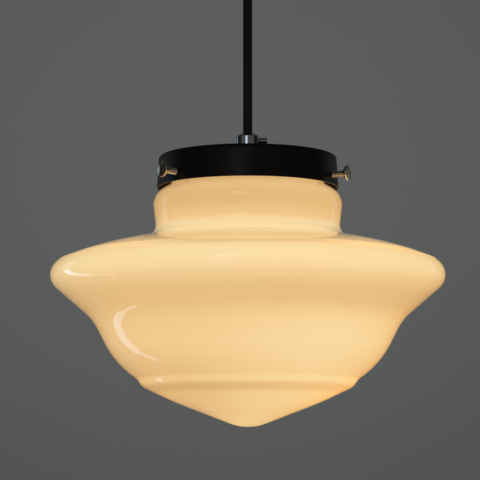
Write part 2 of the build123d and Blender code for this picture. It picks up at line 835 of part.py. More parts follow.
tube_share = flex_body.volume / (pi * flex_radius**2 * flex_free_length)
print(f"flex: {flex_free_length + 2 * flex_radius:.1f} mm with its ends")
print(f"flex: tube volume over section times length {tube_share:.4f}")
print(f"hinges: swing {swing_height:.2f}, tilt {tilt_height:.2f}")
print(f"gallery: top {gallery_top:.2f}, edge {gallery_edge:.2f}")
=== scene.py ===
"""Glass pendant light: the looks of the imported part, laid out as an add-on and run as a script."""
import math

import bmesh
import bpy
from mathutils import Matrix, Vector


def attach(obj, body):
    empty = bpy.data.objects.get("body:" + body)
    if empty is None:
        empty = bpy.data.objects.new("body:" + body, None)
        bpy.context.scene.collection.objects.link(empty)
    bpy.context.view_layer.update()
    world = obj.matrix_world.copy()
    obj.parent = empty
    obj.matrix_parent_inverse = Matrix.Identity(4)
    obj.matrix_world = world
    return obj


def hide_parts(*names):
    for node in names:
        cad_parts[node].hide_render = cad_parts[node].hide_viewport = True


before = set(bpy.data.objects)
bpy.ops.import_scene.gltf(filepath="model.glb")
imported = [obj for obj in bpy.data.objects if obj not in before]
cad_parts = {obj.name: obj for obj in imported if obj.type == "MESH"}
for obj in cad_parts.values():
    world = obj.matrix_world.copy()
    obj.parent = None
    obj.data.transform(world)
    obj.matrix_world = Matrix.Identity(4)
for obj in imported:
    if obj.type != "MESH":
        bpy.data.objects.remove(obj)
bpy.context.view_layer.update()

bl_info = {
    "name": "Glass pendant light",
    "version": (1, 0, 0),
    "blender": (4, 5, 0),
    "location": "3D View > Sidebar > Pendant light",
    "description": "Builds the looks of a glass pendant light round its packed parts",
    "category": "Object",
}

MM = 0.001

# Heights along the light, in millimetres, as in the part
SWING_HEIGHT = -40.5
TILT_HEIGHT = -127.0
CUP_FLOOR = -26.0
GALLERY_TOP = -141.5
GALLERY_EDGE = -161.1
GALLERY_RADIUS = 55.5
GALLERY_TAPER = 1.1
GALLERY_HEIGHT = 19.6

# The shade's lip and throat
LIP_RADIUS = 50.8
LIP_TOP = 13.5
LIP_FOOT = 8.8
THROAT_RADIUS = 47.2
THROAT_TOP = 7.8

# The shade's outer outline: radius, height above the gallery's lower edge, and rounding
SHADE_OUTLINE = [
    (THROAT_RADIUS, 2.2, 2.5),
    (58.6, -4.9, 10.9),
    (55.6, -28.8, 8.0),
    (100.7, -39.1, 160.0),
    (128.1, -51.4, 9.7),
    (94.0, -80.9, 31.5),
    (80.4, -107.5, 54.9),
    (67.2, -116.6, 5.9),
    (63.9, -121.4, 6.9),
    (44.2, -130.7, 150.0),
    (5.9, -145.4, 28.0),
    (0.0, -145.4, 0.0),
]

# Gallery screws, square to the tapered wall: where the axis crosses it, and the tip and the head's foot
# along that axis
SCREW_ANGLES = {"right": -21.7, "back": 98.3, "left": 218.3}
SCREW_ABOVE_EDGE = 5.5
SCREW_LEVEL = GALLERY_EDGE + SCREW_ABOVE_EDGE
SCREW_WALL = GALLERY_RADIUS - SCREW_ABOVE_EDGE * GALLERY_TAPER / GALLERY_HEIGHT
SCREW_RISE = math.degrees(math.atan2(GALLERY_TAPER, GALLERY_HEIGHT))
SCREW_TIP = 47.5 - SCREW_WALL
SCREW_SEAT = 61.9 - SCREW_WALL

# Threads: outer radius, depth and bore
SMALL_RADIUS = 1.98
SMALL_DEPTH = 0.43
NIPPLE_RADIUS = 4.99
NIPPLE_DEPTH = 0.55
NIPPLE_BORE = 3.3

# Driver slots: width, turn from upright, and a saw longer than any head
SLOT_WIDTH = 0.9
SLOT_TURN = 14.0
SAW_LENGTH = 19.0


class ShadeSettings(bpy.types.PropertyGroup):
    """Sizes and colours of the opal glass shade"""

    wall: bpy.props.FloatProperty(
        name="Wall", description="Thickness of the glass", default=3.0 * MM, unit="LENGTH"
    )
    waviness: bpy.props.FloatProperty(
        name="Waviness", description="How far the wall strays inwards", default=0.25 * MM, unit="LENGTH"
    )
    body_colour: bpy.props.StringProperty(
        name="Body", description="Colour of the glass itself", default="8A7152"
    )
    faint_glow: bpy.props.StringProperty(
        name="Faint glow", description="Light through the farthest, thickest glass", default="BC9461"
    )
    deep_glow: bpy.props.StringProperty(
        name="Deep glow", description="Light through the sides of the neck and bowl", default="D0AB73"
    )
    middle_glow: bpy.props.StringProperty(
        name="Middle glow", description="Light through most of the wall", default="DEBE88"
    )
    bright_glow: bpy.props.StringProperty(
        name="Bright glow", description="Light through the waist, the shoulder and the rim", default="E3CC9A"
    )
    glow_strength: bpy.props.FloatProperty(
        name="Glow strength", description="How brightly the lamp shines", default=1.0, subtype="FACTOR"
    )


class MetalSettings(bpy.types.PropertyGroup):
    """Colours and threads of the metal pieces"""

    enamel_colour: bpy.props.StringProperty(
        name="Enamel", description="Stoved enamel of cup and gallery", default="020202"
    )
    chrome_colour: bpy.props.StringProperty(
        name="Chrome", description="Plated cord grips and screws", default="C9CACC"
    )
    nickel_colour: bpy.props.StringProperty(
        name="Nickel", description="Plated brass screws, a little yellow", default="D6C8B4"
    )
    zinc_colour: bpy.props.StringProperty(
        name="Zinc", description="Plated steel of the bracket", default="B4B5B0"
    )
    brass_colour: bpy.props.StringProperty(
        name="Brass", description="Bare turned brass", default="C9A25B"
    )
    small_pitch: bpy.props.FloatProperty(
        name="M4 pitch", description="Thread pitch of the small screws", default=0.7 * MM, unit="LENGTH"
    )
    nipple_pitch: bpy.props.FloatProperty(
        name="M10 pitch", description="Thread pitch of the hollow nipples", default=1.0 * MM, unit="LENGTH"
    )
    lamp_pitch: bpy.props.FloatProperty(
        name="Lamp pitch", description="Pitch of the rolled lamp thread", default=3.62 * MM, unit="LENGTH"
    )


class FlexSettings(bpy.types.PropertyGroup):
    """The round flex and its cores"""

    diameter: bpy.props.FloatProperty(
        name="Diameter", description="Outside of the sheath", default=5.7 * MM, unit="LENGTH"
    )
    core_diameter: bpy.props.FloatProperty(
        name="Core diameter", description="Outside of one insulated core", default=2.1 * MM, unit="LENGTH"
    )
    sheath_colour: bpy.props.StringProperty(
        name="Sheath", description="Black PVC sheath", default="070707"
    )


class StageSettings(bpy.types.PropertyGroup):
    """Camera, light and surroundings"""

    wall_colour: bpy.props.StringProperty(
        name="Wall", description="Plain wall behind the light", default="5D5F5E"
    )
    floor_colour: bpy.props.StringProperty(
        name="Floor", description="Plain pale floor", default="D8D6D0"
    )
    floor_drop: bpy.props.FloatProperty(
        name="Floor drop", description="Height of the floor under the ceiling", default=1.35, unit="LENGTH"
    )
    level: bpy.props.FloatProperty(
        name="Level", description="Strength of the soft light from all round", default=0.85, subtype="FACTOR"
    )


# Small tools


def to_linear(code):
    """Turn an sRGB hex colour into linear values, opaque."""
    parts = [int(code[at:at + 2], 16) / 255 for at in (0, 2, 4)]
    parts = [part / 12.92 if part <= 0.04045 else ((part + 0.055) / 1.055) ** 2.4 for part in parts]
    return (*parts, 1.0)


def add_node(tree, kind, inputs=None, **settings):
    """Add a shader node with its settings, and give its sockets values, links or a node's first output."""
    made = tree.nodes.new("ShaderNode" + kind)
    for name, value in settings.items():
        setattr(made, name, value)
    for socket, value in (inputs or {}).items():
        if isinstance(value, bpy.types.Node):
            value = value.outputs[0]
        if isinstance(value, bpy.types.NodeSocket):
            tree.links.new(value, made.inputs[socket])
        else:
            made.inputs[socket].default_value = value
    return made


def new_material(name, constants):
    """Make a material with one Principled shader and set that shader's constant sockets."""
    made = bpy.data.materials.new(name)
    made.use_nodes = True
    shader = made.node_tree.nodes["Principled BSDF"]
    for socket, value in constants.items():
        shader.inputs[socket].default_value = value
    return made, made.node_tree, shader


def dress(nodes, material):
    """Give CAD nodes a material."""
    for name in nodes:
        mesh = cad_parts[name].data
        mesh.materials.clear()
        mesh.materials.append(material)


def finish_piece(piece, material, body, slot, *replaced):
    """Give a new piece its material and its body, and hide the nodes it stands for. The slot is not used."""
    piece.data.materials.append(material)
    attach(piece, body)
    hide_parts(*replaced)
    return piece


def new_object(name, mesh):
    """Link a mesh into the scene as an object."""
    made = bpy.data.objects.new(name, mesh)
    bpy.context.scene.collection.objects.link(made)
    return made


def rounded(points, turn_step=5.0, longest=2.5):
    """Round the corners of an open outline of (radius, height, rounding) points and divide its runs."""
    line = [Vector(points[0][:2])]
    for before, here, after in zip(points, points[1:], points[2:]):
        corner = Vector(here[:2])
        back = (Vector(before[:2]) - corner).normalized()
        on = (Vector(after[:2]) - corner).normalized()
        if here[2] <= 0:
            line.append(corner)
            continue
        half = back.angle(on) / 2
        middle = corner + (back + on).normalized() * here[2] / math.sin(half)
        start = corner + back * here[2] / math.tan(half) - middle
        sweep = start.angle_signed(corner + on * here[2] / math.tan(half) - middle)
        steps = max(2, math.ceil(abs(math.degrees(sweep)) / turn_step))
        steps = max(steps, math.ceil(abs(sweep) * here[2] / longest))
        for step in range(steps + 1):
            line.append(middle + Matrix.Rotation(-sweep * step / steps, 2) @ start)
    line.append(Vector(points[-1][:2]))
    divided = [line[0]]
    for start, end in zip(line, line[1:]):
        parts = max(1, math.ceil((end - start).length / longest))
        divided += [start.lerp(end, part / parts) for part in range(1, parts + 1)]
    return divided


def inset(points, wall):
    """Move an outline, from its mouth down to the axis, inwards by a wall, with its rounding."""
    chain = [Vector(point[:2]) for point in points]
    chain.append(Vector((-points[-2][0], points[-2][1])))
    runs = [(end - start).normalized() for start, end in zip(chain, chain[1:])]
    sides = [Vector((run.y, -run.x)) for run in runs]
    moved = [(*(chain[0] + wall * sides[0]), 0.0)]
    for point, before, after in zip(points[1:], sides, sides[1:]):
        place = Vector(point[:2]) + (before + after) * wall / (1 + before.dot(after))
        crest = before.x * after.y - before.y * after.x < 0
        rounding = point[2] + (-wall if crest else wall)
        moved.append((*place, rounding if point[2] else 0.0))
    return moved


def turned_mesh(name, outline, segments=96, stray=None):
    """Turn a closed outline of (radius, height) points about Z, with stray(angle, height) on each radius."""
    shape = bmesh.new()
    rings = []
    for radius, height in outline:
        if radius < 1e-6:
            rings.append([shape.verts.new((0, 0, height * MM))])
            continue
        ring = []
        for step in range(segments):
            angle = 2 * math.pi * step / segments
            reach = (radius + (stray(angle, height) if stray else 0)) * MM
            ring.append(shape.verts.new((reach * math.cos(angle), reach * math.sin(angle), height * MM)))
        rings.append(ring)
    for upper, lower in zip(rings, rings[1:] + rings[:1]):
        if len(upper) == 1 and len(lower) == 1:
            continue
        for step in range(segments):
            after = (step + 1) % segments
            corners = [upper[step % len(upper)], lower[step % len(lower)]]
            if len(lower) > 1:
                corners.append(lower[after])
            if len(upper) > 1:
                corners.append(upper[after])
            shape.faces.new(corners)
    bmesh.ops.recalc_face_normals(shape, faces=shape.faces)
    return smooth_mesh(name, shape)


def smooth_mesh(name, shape, crease=35.0):
    """Write a bmesh out as a smooth mesh that keeps its hard edges."""
    mesh = bpy.data.meshes.new(name)
    shape.to_mesh(mesh)
    shape.free()
    mesh.shade_smooth()
    mesh.set_sharp_from_angle(angle=math.radians(crease))
    return mesh


def threaded(shape, crest, depth, pitch, low, high, bore=0.0, segments=40, steps=8):
    """Add a helical thread about Z to a bmesh, in metres, with a run-out at each end and perhaps a bore."""
    rows = max(2, round((high - low) / pitch * steps))
    rings = []
    for row in range(rows + 1):
        height = low + (high - low) * row / rows
        near_end = min(height - low, high - height) / pitch
        ring = []
        for step in range(segments):
            angle = 2 * math.pi * step / segments
            phase = (height / pitch - step / segments) % 1
            valley = 1 - abs(2 * phase - 1)
            radius = crest - depth * max(valley, 1 - near_end)
            ring.append(shape.verts.new((radius * math.cos(angle), radius * math.sin(angle), height)))
        rings.append(ring)
    if bore:
        for height in (high, low):
            ring = []
            for step in range(segments):
                angle = 2 * math.pi * step / segments
                ring.append(shape.verts.new((bore * math.cos(angle), bore * math.sin(angle), height)))
            rings.append(ring)
        rings.append(rings[0])
    for lower, upper in zip(rings, rings[1:]):
        for step in range(segments):
            after = (step + 1) % segments
            shape.faces.new((lower[step], lower[after], upper[after], upper[step]))
    if not bore:
        shape.faces.new(rings[0][::-1])
        shape.faces.new(rings[-1])


def merge(shape, mesh):
    """Add a spare mesh to a bmesh and drop the mesh."""
    shape.from_mesh(mesh)
    bpy.data.meshes.remove(mesh)


def slotted(name, outline, top, depth):
    """Turn a screw head's outline and saw a driver slot across its top."""
    head = new_object(name, turned_mesh(name, outline, segments=64))
    saw_shape = bmesh.new()
    bmesh.ops.create_cube(saw_shape, size=1.0)
    sized = Matrix.Diagonal((SAW_LENGTH * MM, SLOT_WIDTH * MM, 2 * depth * MM, 1))
    turned = Matrix.Translation((0, 0, top * MM)) @ Matrix.Rotation(math.radians(SLOT_TURN), 4, "Z")
    saw_shape.transform(turned @ sized)
    saw_mesh = bpy.data.meshes.new(name + "_saw")
    saw_shape.to_mesh(saw_mesh)
    saw_shape.free()
    saw = new_object(name + "_saw", saw_mesh)
    cut = head.modifiers.new("slot", "BOOLEAN")
    cut.operation = "DIFFERENCE"
    cut.solver = "EXACT"
    cut.object = saw
    bpy.context.view_layer.update()
    evaluated = head.evaluated_get(bpy.context.evaluated_depsgraph_get())
    shape = bmesh.new()
    shape.from_mesh(evaluated.to_mesh())
    evaluated.to_mesh_clear()
    for spare in (head, saw):
        mesh = spare.data
        bpy.data.objects.remove(spare)
        bpy.data.meshes.remove(mesh)
    return shape


def laid_curve(name, route, radius, roundness):
    """A round cable or wire along a smooth route of points in millimetres."""
    curve = bpy.data.curves.new(name, "CURVE")
    curve.dimensions = "3D"
    curve.bevel_depth = radius
    curve.bevel_resolution = roundness
    curve.use_fill_caps = True
    spline = curve.splines.new("NURBS")
    spline.points.add(len(route) - 1)
    for point, place in zip(spline.points, route):
        point.co = (*[part * MM for part in place], 1.0)
    spline.order_u = 3
    spline.use_endpoint_u = True
    return curve


def outward(angle, radius, height, rise=0.0):
    """The place of a screw whose Z axis points out from the light, with its X axis upwards."""
    turn, lift = math.radians(angle), math.radians(rise)
    out = Vector((math.cos(turn) * math.cos(lift), math.sin(turn) * math.cos(lift), math.sin(lift)))
    up = Vector((-math.cos(turn) * math.sin(lift), -math.sin(turn) * math.sin(lift), math.cos(lift)))
    place = Matrix((up, out.cross(up), out)).transposed().to_4x4()
    place.translation = Vector((radius * math.cos(turn), radius * math.sin(turn), height)) * MM
    return place


# Materials


def opal_glass(shade):
    """Mouth-blown opal glass: clear polished glass over a white layer whose glow, the lamp's light through
    it, is painted.
    """
    # The clear layer gives sharp, narrow highlights and darkens the edges. The white layer's glow is painted
    # light: evenly lit, brightest where it is thin, at the waist and rim, and where it faces the lamp.
    made, tree, shader = new_material("opal_glass", {
        "Base Color": to_linear(shade.body_colour),
        "IOR": 1.5,
        "Roughness": 0.35,
        "Specular IOR Level": 0.0,
        "Coat Weight": 1.0,
        "Coat IOR": 1.5,
        "Coat Roughness": 0.03,
        "Emission Strength": shade.glow_strength,
    })
    coordinates = add_node(tree, "TexCoord")
    place = coordinates.outputs["Object"]
    parts = add_node(tree, "SeparateXYZ", {0: place})
    # The lamp's light painted on the white layer: an even share, and one for glass that faces the lamp, more
    # near it
    lamp_place = (14 * MM, -22 * MM, (GALLERY_EDGE - 90) * MM)
    even_share, facing_share, near_share, near_reach = 0.45, 0.12, 0.16, 60 * MM
    away = add_node(tree, "VectorMath", {0: place, 1: lamp_place}, operation="SUBTRACT")
    reach = add_node(tree, "VectorMath", {0: away}, operation="LENGTH")
    aim = add_node(tree, "VectorMath", {0: away}, operation="NORMALIZE")
    facing = add_node(tree, "VectorMath", {0: aim, 1: coordinates.outputs["Normal"]}, operation="DOT_PRODUCT")
    facing = add_node(tree, "Math", {0: facing.outputs["Value"], 1: 0.0}, operation="MAXIMUM")
    near = add_node(tree, "Math", {0: near_reach, 1: reach.outputs["Value"]}, operation="DIVIDE")
    near = add_node(tree, "Math", {0: near, 1: 2.0}, operation="POWER")
    near = add_node(tree, "Math", {0: near, 1: near_share, 2: facing_share}, operation="MULTIPLY_ADD")
    glow = add_node(tree, "Math", {0: facing, 1: near, 2: even_share}, operation="MULTIPLY_ADD")
    # Down the glass: depth under the gallery in millimetres, how bright the white layer is, how much brighter
    # it is on the right, where the lamp hangs nearer, how far its edges warm up, and how far they catch the
    # waist's light
    # The low levels above and just under the gallery's edge are painted shade from the gallery and the
    # lampholder, and the dip at 121.5 to 124 mm paints a darker line in the step under the bowl
    bands = (
        (-14, 0.20, 0.06, 0.3, 0.0), (-3.8, 0.25, 0.06, 0.3, 0.0), (-2.2, 1.03, 0.06, 0.3, 0.0),
        (8, 1.01, 0.06, 0.4, 0.0), (14, 1.11, 0.06, 0.7, 0.0), (21, 1.30, 0.04, 0.6, 0.0),
        (28, 1.57, 0.02, 0.1, 0.0), (31, 1.45, 0.01, 0.0, 0.0), (33.5, 1.24, 0.0, 0.0, 0.0),
        (38.3, 1.20, 0.0, 0.0, 0.0), (40.8, 1.23, 0.0, 0.1, 0.2), (42.3, 1.33, 0.0, 0.25, 0.9),
        (44.1, 1.45, 0.0, 0.4, 0.75), (46.3, 1.49, 0.0, 0.6, 0.2), (49.3, 1.53, 0.0, 0.7, 0.0),
        (58, 1.54, 0.0, 0.7, 0.0), (63, 1.46, 0.0, 0.7, 0.0), (66, 1.30, 0.0, 0.7, 0.0),
        (69, 1.21, 0.0, 0.7, 0.0), (75, 1.17, 0.0, 0.8, 0.0), (81, 1.20, 0.03, 1.0, 0.0),
        (86, 1.225, 0.05, 1.0, 0.0), (97, 1.235, 0.05, 1.0, 0.0), (104, 1.18, 0.05, 1.0, 0.0),
        (110, 1.11, 0.05, 1.0, 0.0), (115, 1.05, 0.04, 1.1, 0.1), (118.5, 1.10, 0.03, 1.2, 0.3),
        (121.5, 0.84, 0.03, 1.2, 0.4), (124, 0.83, 0.02, 1.2, 0.5), (126, 1.00, 0.01, 1.2, 0.5),
        (136, 1.03, 0.0, 1.2, 0.5), (146, 1.28, 0.0, 1.2, 0.3),
    )
    highest, deepest = -14, 150

    def way_down(under_edge):
        return (under_edge - highest) / (deepest - highest)

    depth = add_node(tree, "MapRange", {
        "Value": parts.outputs["Z"],
        "From Min": (GALLERY_EDGE - highest) * MM,
        "From Max": (GALLERY_EDGE - deepest) * MM,
    })
    banding = add_node(tree, "ValToRGB", {0: depth})
    ramp = banding.color_ramp
    ramp.interpolation = "EASE"
    for number, (under_edge, bright, lean, edge, ledge) in enumerate(bands):
        stop = ramp.elements[number] if number < 2 else ramp.elements.new(way_down(under_edge))
        stop.position = way_down(under_edge)
        stop.color = (bright / 2, lean, edge / 2, ledge)
    waist_light = banding.outputs[1]
    banding = add_node(tree, "SeparateColor", {0: banding})
    left_flank, right_flank = -45 * MM, 60 * MM
    across = add_node(tree, "MapRange", {
        "Value": parts.outputs["X"], "From Min": left_flank, "From Max": right_flank,
        "To Min": -1.0, "To Max": 1.0,
    }, interpolation_type="SMOOTHSTEP")
    lean = add_node(tree, "Math", {0: across, 1: banding.outputs[1], 2: 1.0}, operation="MULTIPLY_ADD")
    # Clouds about 60 mm across in the white layer, as the gather was never quite even
    clouds = add_node(tree, "TexNoise", {"Vector": place, "Scale": 16.0, "Detail": 2.0})
    clouds = add_node(tree, "MapRange", {"Value": clouds, "To Min": 0.97, "To Max": 1.03})
    level = glow
    for factor in (banding, 2.0, lean, clouds):
        level = add_node(tree, "Math", {0: level, 1: factor}, operation="MULTIPLY")
    darkest, brightest = 0.45, 0.95
    spread = add_node(tree, "MapRange", {"Value": level, "From Min": darkest, "From Max": brightest})
    warmth = add_node(tree, "ValToRGB", {0: spread})
    warmth.color_ramp.elements[0].color = to_linear(shade.faint_glow)
    warmth.color_ramp.elements[1].color = to_linear(shade.bright_glow)
    warmth.color_ramp.elements.new(0.33).color = to_linear(shade.deep_glow)
    warmth.color_ramp.elements.new(0.66).color = to_linear(shade.middle_glow)
    # Seen edge on, the light has come the long way through the white layer, so it is warmer, most of all on
    # the right
    amber = (1.75, 1.3, 0.7, 1.0)
    edge_on = add_node(tree, "Fresnel", {"IOR": 1.5})
    edge_on = add_node(tree, "MapRange", {"Value": edge_on, "From Max": 0.6})
    share = add_node(tree, "Math", {0: across, 1: 0.3, 2: 0.7}, operation="MULTIPLY_ADD")
    for factor in (banding.outputs[2], 2.0, edge_on):
        share = add_node(tree, "Math", {0: share, 1: factor}, operation="MULTIPLY")
    edge = add_node(
        tree, "Mix", {0: share, 6: (1.0, 1.0, 1.0, 1.0), 7: amber}, data_type="RGBA", clamp_factor=False
    )
    # Beside the neck the whole shoulder is seen edge on and catches the waist's light too, within its depths
    from_axis = add_node(tree, "Math", {0: parts.outputs["X"]}, operation="ABSOLUTE")
    beside_neck, clear_of_neck, shoulder_catch = 56 * MM, 64 * MM, 0.38
    beside = add_node(tree, "MapRange", {
        "Value": from_axis, "From Min": beside_neck, "From Max": clear_of_neck, "To Max": shoulder_catch,
    }, interpolation_type="SMOOTHSTEP")
    for nothing_at, all_at in ((30, 33), (45, 40)):
        part = add_node(tree, "MapRange", {
            "Value": depth, "From Min": way_down(nothing_at), "From Max": way_down(all_at),
        })
        beside = add_node(tree, "Math", {0: beside, 1: part}, operation="MULTIPLY")
    caught = add_node(tree, "Math", {0: beside, 1: waist_light}, operation="MAXIMUM")
    near_axis, far_aside = 15 * MM, 80 * MM
    aside = add_node(tree, "MapRange", {
        "Value": from_axis, "From Min": near_axis, "From Max": far_aside, "To Min": 0.1, "To Max": 1.4,
    }, interpolation_type="SMOOTHSTEP")
    aside = add_node(tree, "Math", {0: aside, 1: caught}, operation="MULTIPLY")
    caught = add_node(tree, "Math", {0: aside, 1: edge_on, 2: 1.0}, operation="MULTIPLY_ADD")
    edge = add_node(tree, "VectorMath", {0: edge.outputs[2], "Scale": caught}, operation="SCALE")
    lit = add_node(tree, "Mix", {0: 1.0, 6: warmth, 7: edge}, data_type="RGBA", blend_type="MULTIPLY")
    tree.links.new(lit.outputs[2], shader.inputs["Emission Color"])
    # Faint ripples of about 9 mm that fire polishing leaves
    ripple = add_node(tree, "TexNoise", {"Vector": place, "Scale": 110.0, "Detail": 1.0})
    bump = add_node(tree, "Bump", {"Height": ripple, "Strength": 0.25, "Distance": 0.1 * MM})
    tree.links.new(bump.outputs[0], shader.inputs["Coat Normal"])
    return made


def satin_enamel(metal):
    """Black stoved enamel on pressed steel: satin, with a faint orange peel and warm, weak highlights."""
    made, tree, shader = new_material("black_stoved_enamel", {
        "IOR": 1.5, "Specular IOR Level": 0.2, "Specular Tint": to_linear("FFEFDC"),
    })
    place = add_node(tree, "TexCoord").outputs["Object"]
    # Orange peel of 1.2 mm
    peel = add_node(tree, "TexNoise", {"Vector": place, "Scale": 830.0, "Detail": 2.0})
    bump = add_node(tree, "Bump", {"Height": peel, "Strength": 0.12, "Distance": 0.05 * MM})
    patches = add_node(tree, "TexNoise", {"Vector": place, "Scale": 60.0, "Detail": 4.0})
    rough = add_node(tree, "MapRange", {"Value": patches, "To Min": 0.34, "To Max": 0.42})
    base = to_linear(metal.enamel_colour)
    tint = add_node(tree, "Mix", {0: patches, 6: base, 7: to_linear("040404")}, data_type="RGBA")
    tree.links.new(tint.outputs[2], shader.inputs["Base Color"])
    tree.links.new(rough.outputs[0], shader.inputs["Roughness"])
    tree.links.new(bump.outputs[0], shader.inputs["Normal"])
    return made


def plated_metal(name, colour, rough_low, rough_high, grain):
    """Plated or turned metal: grain is how many marks there are in a metre."""
    # Tool marks are drawn about 1 mm across, coarser than real ones, so that they show
    made, tree, shader = new_material(name, {"Metallic": 1.0})
    place = add_node(tree, "TexCoord").outputs["Object"]
    marks = add_node(tree, "TexNoise", {"Vector": place, "Scale": grain, "Detail": 4.0})
    rough = add_node(tree, "MapRange", {"Value": marks, "To Min": rough_low, "To Max": rough_high})
    dulling = 0.86
    dulled = [part * dulling for part in to_linear(colour)[:3]]
    tint = add_node(tree, "Mix", {0: marks, 6: to_linear(colour), 7: (*dulled, 1.0)}, data_type="RGBA")
    bump = add_node(tree, "Bump", {"Height": marks, "Strength": 0.08, "Distance": 0.02 * MM})
    tree.links.new(tint.outputs[2], shader.inputs["Base Color"])
    tree.links.new(rough.outputs[0], shader.inputs["Roughness"])
    tree.links.new(bump.outputs[0], shader.inputs["Normal"])
    return made


def moulded(name, light, dark, roughness, grain, ior=1.5, relief=0.03, level=0.5):
    """Moulded, extruded or fired material: two close shades, grain patches in a metre, and a fine skin."""
    made, tree, shader = new_material(name, {
        "IOR": ior, "Roughness": roughness, "Specular IOR Level": level,
    })
    place = add_node(tree, "TexCoord").outputs["Object"]
    patches = add_node(tree, "TexNoise", {"Vector": place, "Scale": grain, "Detail": 5.0})
    tint = add_node(tree, "Mix", {0: patches, 6: to_linear(light), 7: to_linear(dark)}, data_type="RGBA")
    skin = add_node(tree, "TexNoise", {"Vector": place, "Scale": 6 * grain, "Detail": 2.0})
    bump = add_node(tree, "Bump", {"Height": skin, "Strength": 0.2, "Distance": relief * MM})
    tree.links.new(tint.outputs[2], shader.inputs["Base Color"])
    tree.links.new(bump.outputs[0], shader.inputs["Normal"])
    return made


# Pieces


